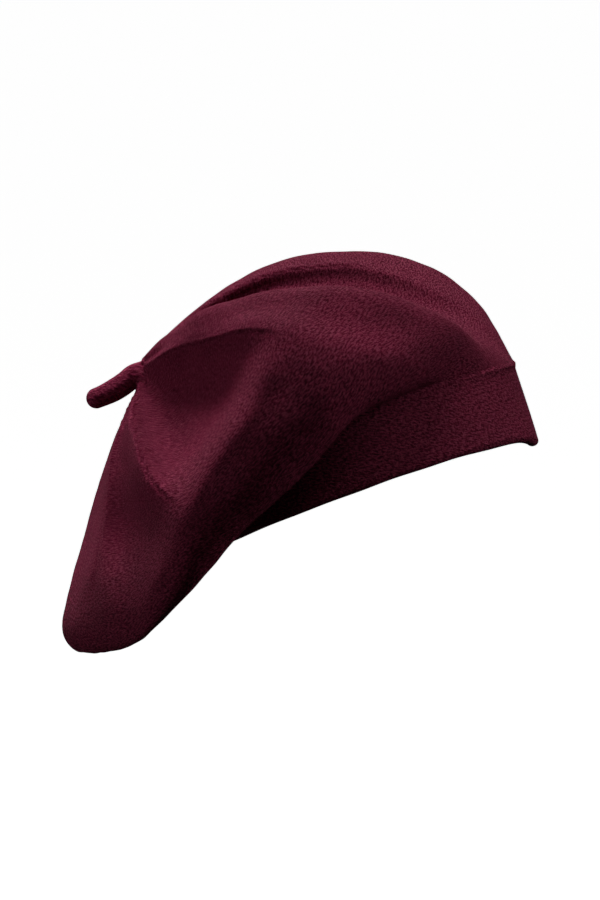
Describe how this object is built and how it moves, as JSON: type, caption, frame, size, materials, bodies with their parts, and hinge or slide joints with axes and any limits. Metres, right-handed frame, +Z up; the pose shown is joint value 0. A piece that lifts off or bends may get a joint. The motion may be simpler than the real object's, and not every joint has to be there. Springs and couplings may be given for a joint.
{
  "type": "beret",
  "caption": "Knitted wool beret with a soft slouched crown, a doubled headband and a short knitted stem.",
  "frame": {"origin": "centre of the head opening, as worn", "axes": "+Z up, +X towards the wearer's forehead, -Y towards the wearer's right side"},
  "size_m": [0.2153, 0.2255, 0.1808],
  "materials": {
    "wool_knit": "fine burgundy wool stockinette, lightly felted, matt with a soft halo of fibre",
    "stem_knit": "the same burgundy wool, knitted as a narrow cord",
    "linking_yarn": "burgundy wool yarn, chain linked",
    "elastic": "covered elastic thread",
    "label_tape": "blank woven satin tape",
    "label_thread": "sewing thread"
  },
  "bodies": {
    "headband": {"headband_outer_layer": "wool_knit", "headband_inner_layer": "wool_knit", "headband_elastic": "elastic", "hem_linking_chain": "linking_yarn", "closing_seam_headband": "linking_yarn", "label_stitches": "label_thread"},
    "underside": {"crown_underside": "wool_knit", "closing_seam_underside": "linking_yarn"},
    "crown": {"crown_segment_1": "wool_knit", "crown_segment_2": "wool_knit", "crown_segment_3": "wool_knit", "crown_segment_4": "wool_knit", "crown_segment_5": "wool_knit", "crown_segment_6": "wool_knit", "closing_seam_crown": "linking_yarn", "centre_gather_thread": "linking_yarn"},
    "stem_root": {"stem_collar": "stem_knit", "stem_tail_knot": "linking_yarn"},
    "stem": {"stem": "stem_knit"},
    "care_label": {"care_label": "label_tape"}
  },
  "joints": [
    {"name": "crown_tilt", "type": "hinge", "parent": "headband", "child": "underside", "pos_m": [0.086, 0, 0.066], "axis": [0, 1, 0], "range_deg": [0, 15], "deforming": ["crown_underside", "closing_seam_underside"]},
    {"name": "crown_sway", "type": "hinge", "parent": "underside", "child": "crown", "pos_m": [-0.005, 0, 0.05], "axis": [0.9455, 0, 0.3256], "range_deg": [-10, 10], "deforming": ["crown_underside", "closing_seam_underside"]},
    {"name": "stem_swing", "type": "hinge", "parent": "crown", "child": "stem_root", "pos_m": [-0.0763, 0, 0.0617], "axis": [-0.8449, 0, 0.5349], "range_deg": [-70, 70], "stiffness_Nm_per_rad": 0.01},
    {"name": "stem_lift", "type": "hinge", "parent": "stem_root", "child": "stem", "pos_m": [-0.08078, 0, 0.06454], "axis": [0, 1, 0], "range_deg": [-12, 90], "stiffness_Nm_per_rad": 0.01},
    {"name": "label_flip", "type": "hinge", "parent": "headband", "child": "care_label", "pos_m": [-0.08006, 0, -0.00882], "axis": [0, -1, 0], "range_deg": [0, 95], "stiffness_Nm_per_rad": 0.002}
  ]
}
